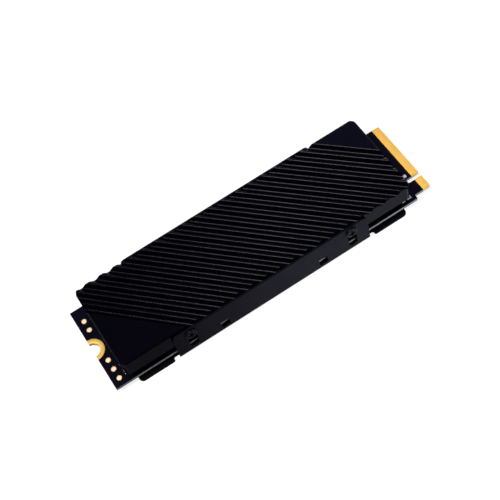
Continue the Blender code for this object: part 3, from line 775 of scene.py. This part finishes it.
def ridge_section():
    """Across the ridges from the near flat to the far one, with the block's own thickness below."""
    reach = sink_half * sin(ridge_angle) + sink_side * cos(ridge_angle)
    half = (ridge_pitch - crest_width) / 2
    foot = floor_width / 2
    count = floor((2 * reach - near_flat - far_flat + crest_width) / ridge_pitch)
    end = reach + overrun
    corners = [(-end, 0, 0), (end, 0, 0), (end, sink_height, 0)]
    for step in reversed(range(count)):
        middle = near_flat - reach + half + ridge_pitch * step
        bottom = sink_height - ridge_depth
        corners += [
            (middle + half, sink_height, crest_rounding),
            (middle + foot, bottom, groove_rounding),
            (middle - foot, bottom, groove_rounding),
            (middle - half, sink_height, crest_rounding),
        ]
    return corners + [(-end, sink_height, 0)]


def trim(shape, point, outward):
    """Cuts off what lies beyond a plane and closes the cut with one face."""
    cut_edges = bmesh.ops.bisect_plane(
        shape, geom=[*shape.verts, *shape.edges, *shape.faces], dist=WELD,
        plane_co=point, plane_no=outward, clear_outer=True,
    )["geom_cut"]
    rim = [item for item in cut_edges if isinstance(item, bmesh.types.BMEdge)]
    bmesh.ops.contextual_create(shape, geom=rim)


def heatsink_shape():
    span = 4 * sink_half
    shape = thicken(plate(ridge_section()), span)
    place(shape, (0, span / 2, 0), standing)
    place(shape, (0, 0, 0), Matrix.Rotation(radians(90) - ridge_angle, 3, "Z"))
    diagonal = Vector((1, 1, 0)).normalized()
    for side_x in (-1, 1):
        for side_y in (-1, 1):
            corner = Vector((side_x * sink_half, side_y * (sink_side - sink_corner), 0))
            trim(shape, corner, (side_x * diagonal.x, side_y * diagonal.y, 0))
    for side in (-1, 1):
        trim(shape, (side * sink_half, 0, 0), (side, 0, 0))
        trim(shape, (0, side * sink_side, 0), (0, side, 0))
    for side in (-1, 1):
        trim(shape, (side * sink_half, 0, sink_height - sink_chamfer), (end_slope * side, 0, 1))
        trim(shape, (0, side * sink_side, sink_height - sink_chamfer), (0, side, 1))
    upright_edges = [
        edge for edge in shape.edges
        if abs(edge.verts[0].co.z - edge.verts[1].co.z) > 0.99 * edge.calc_length()
    ]
    bmesh.ops.bevel(
        shape, geom=upright_edges, offset=corner_rounding, offset_type="OFFSET",
        segments=corner_facets, profile=0.5, affect="EDGES", material=-1,
    )
    bmesh.ops.recalc_face_normals(shape, faces=shape.faces)
    return place(shape, (sink_middle, 0, sink_low.z))


heatsink = as_object("ridged_heatsink", heatsink_shape())
soften(heatsink, sink_edge)
anodised = finish(
    "anodised_black", (0.0001, 0.0001, 0.0008), 0.23, specular=0.047, mottling=0.3, scale=1800.0,
    depth=0.014 * MM,
)
dress(heatsink, anodised, "heatsink", "heatsink")


# Side screws
# Four small pan head screws of blackened steel, each turned, with a pressed cross recess. They
# pass through the wings' slots into the heatsink and hold the tray to it.

head_height = 0.4 * MM
head_edge = 0.34 * MM
shank_radius = 0.8 * MM
tip_chamfer = 0.2 * MM
recess_arm = (2.0 * MM, 0.6 * MM)
recess_depth = 0.5 * MM
recess_taper = (0.75, 0.9, 1)
screw_edge = 0.02 * MM
screw_steps = 48
screw_black = finish("screw_black", (0.003, 0.003, 0.005), 0.32, specular=0.078, scale=3000.0)


def screw_shape(head_radius, length):
    """From the middle of the head's top round its edge and down the shank to the tip."""
    profile = [(0, head_height), (head_radius - head_edge, head_height)]
    for angle in (22.5, 45, 67.5, 90):
        out, up = sin(radians(angle)), cos(radians(angle))
        profile.append((head_radius + head_edge * (out - 1), head_height + head_edge * (up - 1)))
    profile += [(head_radius, 0), (shank_radius, 0), (shank_radius, tip_chamfer - length)]
    profile += [(shank_radius - tip_chamfer, -length), (0, -length)]
    shape = turned(profile, screw_steps)
    bmesh.ops.recalc_face_normals(shape, faces=shape.faces)
    return shape


def recess_bar(turn):
    """One bar of the cross, narrower at its foot."""
    shape = bmesh.new()
    bmesh.ops.create_cube(shape, size=1.0)
    bmesh.ops.scale(shape, vec=(*recess_arm, 2 * recess_depth), verts=shape.verts)
    foot = [corner for corner in shape.verts if corner.co.z < 0]
    bmesh.ops.scale(shape, vec=recess_taper, verts=foot)
    return place(shape, (0, 0, 0), Matrix.Rotation(radians(turn), 3, "Z"))


for end in ("left", "right"):
    for side_name, side in (("near", -1), ("far", 1)):
        node = f"side_screw_{side_name}_{end}"
        low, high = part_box(node)
        middle = (low + high) / 2
        tip, top = (high.y, low.y) if side < 0 else (low.y, high.y)
        outward = Matrix.Rotation(radians(-90 * side), 3, "X")
        head_base = top - side * head_height
        shape = screw_shape((high.x - low.x) / 2, abs(head_base - tip))
        place(shape, (middle.x, head_base, middle.z), outward)
        screw = as_object(f"screw_{side_name}_{end}", shape)
        for turn in (0, 90):
            bar = place(recess_bar(turn), (middle.x, top, middle.z), outward)
            cut(screw, as_object("recess", bar))
        soften(screw, screw_edge, segments=1)
        dress(screw, screw_black, "screw", node)


# Floor
# A plain white sheet that the drive lies on, white to the camera and through anything clear, with
# the soft shadow round the tray. In reflections it is painted cooler and darker to the left: a
# painted reflection that shades the dark faces mirroring it.

floor_half = 1.5
floor_drop = 0.02 * MM
pure_white = (1.0, 1.0, 1.0)
floor_own = (0.30, 0.30, 0.30)
# Colours and levels that only reflected rays see: a painted reflection, cooler and darker to the left.
own_reflection_tint = (0.28, 0.27, 0.33)
floor_glow = 0.82
painted_reflection_tint = (0.76, 0.78, 1.0)
reflection_shade_span = (-0.03, 0.015)
reflection_shade_levels = (0.06, 1.0)


def blend(tree, factor, first, second):
    """A colour between two."""
    made = tree.nodes.new("ShaderNodeMix")
    made.data_type = "RGBA"
    made.inputs["A"].default_value = (*first, 1.0)
    made.inputs["B"].default_value = (*second, 1.0)
    tree.links.new(factor, made.inputs["Factor"])
    return made.outputs["Result"]


floor_shape = bmesh.new()
bmesh.ops.create_grid(floor_shape, x_segments=1, y_segments=1, size=floor_half)
ground = as_object("floor", place(floor_shape, (0, 0, -floor_drop)))
paper = bpy.data.materials.new("floor_white")
paper.use_nodes = True
tree = paper.node_tree
shader = tree.nodes["Principled BSDF"].inputs
shader["Roughness"].default_value = 0.9
shader["Specular IOR Level"].default_value = 0.0
ray = tree.nodes.new("ShaderNodeLightPath").outputs
# Reflected rays see the floor cooler and, to the left, darker: painted shade in reflections.
own = blend(tree, ray["Is Glossy Ray"], floor_own, own_reflection_tint)
glow = blend(tree, ray["Is Glossy Ray"], pure_white, painted_reflection_tint)
reflection_shade = map_range(tree, axes(tree, "Object")["X"], reflection_shade_span, reflection_shade_levels, "SMOOTHSTEP")
glossy = maths(tree, "MULTIPLY", ray["Is Glossy Ray"], reflection_shade)
mirrored = maths(tree, "MAXIMUM", glossy, ray["Is Transmission Ray"])
shown = maths(tree, "MAXIMUM", ray["Is Camera Ray"], mirrored)
tree.links.new(own, shader["Base Color"])
tree.links.new(glow, shader["Emission Color"])
tree.links.new(maths(tree, "MULTIPLY", shown, floor_glow), shader["Emission Strength"])
ground.data.materials.append(paper)


# World and lamps
# White past the floor and where a surface mirrors the horizon, with a violet sheen overhead that
# grows to the right, and dim for other rays. The lamp at the upper left draws the ridges, the low
# one their left ends, and the two at the right light the side and the far triangle.

dim_colour = (0.9, 0.93, 1.0)
dim_level = 0.06
horizon_span = (sin(radians(3)), sin(radians(15)))
horizon_levels = (1.0, 0.06)
overhead_span = (sin(radians(35)), sin(radians(52)))
rightward_span = (0.0, 0.2)
rightward_levels = (0.88, 1.0)
sheen_violet = (0.55, 0.48, 1.0)

world = bpy.data.worlds.new("studio")
bpy.context.scene.world = world
world.use_nodes = True
tree = world.node_tree
dim = tree.nodes["Background"]
dim.inputs["Color"].default_value = (*dim_colour, 1.0)
dim.inputs["Strength"].default_value = dim_level
white = tree.nodes.new("ShaderNodeBackground")
white.inputs["Strength"].default_value = 1.0
ray = tree.nodes.new("ShaderNodeLightPath").outputs
direction = axes(tree, "Generated")
low_down = map_range(tree, direction["Z"], horizon_span, horizon_levels, "SMOOTHSTEP")
high_up = map_range(tree, direction["Z"], overhead_span, (0.0, 1.0), "SMOOTHSTEP")
rightward = map_range(tree, direction["X"], rightward_span, rightward_levels, "SMOOTHSTEP")
overhead = maths(tree, "MULTIPLY", high_up, rightward)
violet = maths(tree, "MULTIPLY", high_up, ray["Is Glossy Ray"])
tree.links.new(blend(tree, violet, pure_white, sheen_violet), white.inputs["Color"])
seen_through = maths(tree, "MAXIMUM", ray["Is Glossy Ray"], ray["Is Transmission Ray"])
mirrored = maths(tree, "MULTIPLY", seen_through, maths(tree, "MAXIMUM", low_down, overhead))
chosen = tree.nodes.new("ShaderNodeMixShader")
tree.links.new(maths(tree, "MAXIMUM", ray["Is Camera Ray"], mirrored), chosen.inputs["Fac"])
tree.links.new(dim.outputs["Background"], chosen.inputs[1])
tree.links.new(white.outputs["Background"], chosen.inputs[2])
tree.links.new(chosen.outputs["Shader"], tree.nodes["World Output"].inputs["Surface"])


def lamp(name, location, size, power, colour=pure_white):
    light = bpy.data.lights.new(name, "AREA")
    light.size = size
    light.energy = power
    light.color = colour
    made = bpy.data.objects.new(name, light)
    bpy.context.scene.collection.objects.link(made)
    made.location = location
    made.rotation_euler = Vector(location).to_track_quat("Z", "Y").to_euler()


lamp("near_right", (0.075, -0.08, 0.04), 0.035, 0.05)
lamp("upper_left", (-0.344, -0.088, 0.80), 0.20, 8.4, (0.92, 0.91, 1.0))
lamp("far_right", (0.116, 0.241, 0.37), 0.14, 0.10, (0.37, 0.40, 1.0))
lamp("low_left", (-0.26, 0.165, 0.085), 0.06, 0.05, (0.6, 0.75, 1.0))


# Camera
# It stands where the photograph was taken from: above the near side, slightly left of square on
# and turned clockwise, so that the drive lies across the picture from lower left to upper right.

aim = Vector((-0.36, -0.869, 4.5)) * MM
azimuth = radians(-14.499)
elevation = radians(57.385)
distance = 274.91 * MM
roll = radians(-19.796)
back = Vector((sin(azimuth) * cos(elevation), -cos(azimuth) * cos(elevation), sin(elevation)))
lens = bpy.data.cameras.new("camera")
lens.lens = 92.419
lens.sensor_width = 36.0
lens.clip_start = 0.01
camera = bpy.data.objects.new("camera", lens)
bpy.context.scene.collection.objects.link(camera)
camera.location = aim + distance * back
camera.rotation_euler = (back.to_track_quat("Z", "Y") @ Quaternion((0, 0, 1), roll)).to_euler()
bpy.context.scene.camera = camera
bpy.context.scene.view_settings.view_transform = "Standard"
